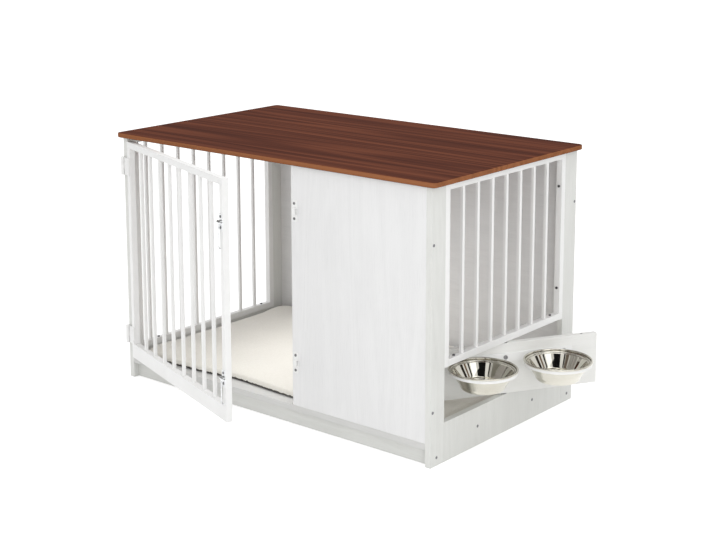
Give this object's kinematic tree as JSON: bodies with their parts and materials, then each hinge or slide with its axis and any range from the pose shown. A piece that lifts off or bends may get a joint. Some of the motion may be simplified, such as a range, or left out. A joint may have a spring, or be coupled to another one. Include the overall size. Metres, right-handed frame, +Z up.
{
  "type": "dog crate end table",
  "caption": "Low end table whose body is a pet crate: walnut-look slab, white boards, steel slat grilles, side-hung slat door and a feeder that swings through the end.",
  "frame": {"origin": "on the floor, at the middle of the front plinth's underside", "axes": "+X along the long front towards the feeder end, +Y from front to back, +Z up"},
  "size_m": [1.1832, 0.7822, 0.64],
  "materials": {
    "walnut_laminate": "satin",
    "white_board": "satin",
    "white_steel": "satin",
    "zinc": "satin",
    "chrome": "polished",
    "stainless": "polished",
    "grey_plastic": "matte",
    "fleece": "matte"
  },
  "bodies": {
    "frame": {"table_top": "walnut_laminate", "front_right_post": "white_board", "rear_right_post": "white_board", "rear_left_post": "white_board", "front_left_post": "white_board", "right_base_board": "white_board", "left_base_board": "white_board", "front_panel": "white_board", "back_panel": "white_board", "floor_board": "white_board", "front_plinth": "white_board", "back_plinth": "white_board", "right_grille_front_stile": "white_steel", "right_grille_rear_stile": "white_steel", "right_grille_top_rail": "white_steel", "right_grille_bottom_rail": "white_steel", "right_grille_bars": "white_steel", "right_grille_bolts": "zinc", "right_end_caps": "grey_plastic", "left_grille_front_stile": "white_steel", "left_grille_rear_stile": "white_steel", "left_grille_top_rail": "white_steel", "left_grille_bottom_rail": "white_steel", "left_grille_bars": "white_steel", "left_grille_bolts": "zinc", "left_end_caps": "grey_plastic", "lower_post_leaf": "white_steel", "lower_hinge_pin": "zinc", "lower_keeper": "chrome", "lower_keeper_screws": "zinc", "lower_feeder_pivot": "zinc", "upper_post_leaf": "white_steel", "upper_hinge_pin": "zinc", "upper_keeper": "chrome", "upper_keeper_screws": "zinc", "upper_feeder_pivot": "zinc", "cushion": "fleece"},
    "door": {"door_hinge_stile": "white_steel", "door_latch_stile": "white_steel", "door_top_rail": "white_steel", "door_kick_rail": "white_steel", "door_bars": "white_steel", "lower_door_leaf": "white_steel", "upper_door_leaf": "white_steel", "lower_latch_plate": "chrome", "upper_latch_plate": "chrome", "lower_latch_screws": "zinc", "upper_latch_screws": "zinc"},
    "lower_bolt": {"lower_latch_bolt": "chrome"},
    "upper_bolt": {"upper_latch_bolt": "chrome"},
    "feeder": {"feeder_board": "white_board", "feeder_strip": "white_steel", "feeder_bolts": "zinc", "feeder_end_plugs": "grey_plastic", "front_bowl_ring": "white_steel", "rear_bowl_ring": "white_steel"},
    "front_bowl": {"front_bowl": "stainless"},
    "rear_bowl": {"rear_bowl": "stainless"}
  },
  "joints": [
    {"name": "door_swing", "type": "hinge", "parent": "frame", "child": "door", "pos_m": [-0.485, -0.0275, 0.336], "axis": [0, 0, -1], "range_deg": [-19.4, 160.6]},
    {"name": "lower_latch_slide", "type": "slide", "parent": "door", "child": "lower_bolt", "axis": [0.9432, -0.3322, 0], "range_m": [0, 0.0095]},
    {"name": "upper_latch_slide", "type": "slide", "parent": "door", "child": "upper_bolt", "axis": [0.9432, -0.3322, 0], "range_m": [0, 0.0095]},
    {"name": "feeder_swing", "type": "hinge", "parent": "frame", "child": "feeder", "pos_m": [0.4775, 0.2675, 0.1545], "axis": [0, 0, 1], "range_deg": [-149, 31]},
    {"name": "front_bowl_lift", "type": "slide", "parent": "feeder", "child": "front_bowl", "axis": [0, 0, 1], "range_m": [0, 0.018]},
    {"name": "rear_bowl_lift", "type": "slide", "parent": "feeder", "child": "rear_bowl", "axis": [0, 0, 1], "range_m": [0, 0.018]}
  ]
}
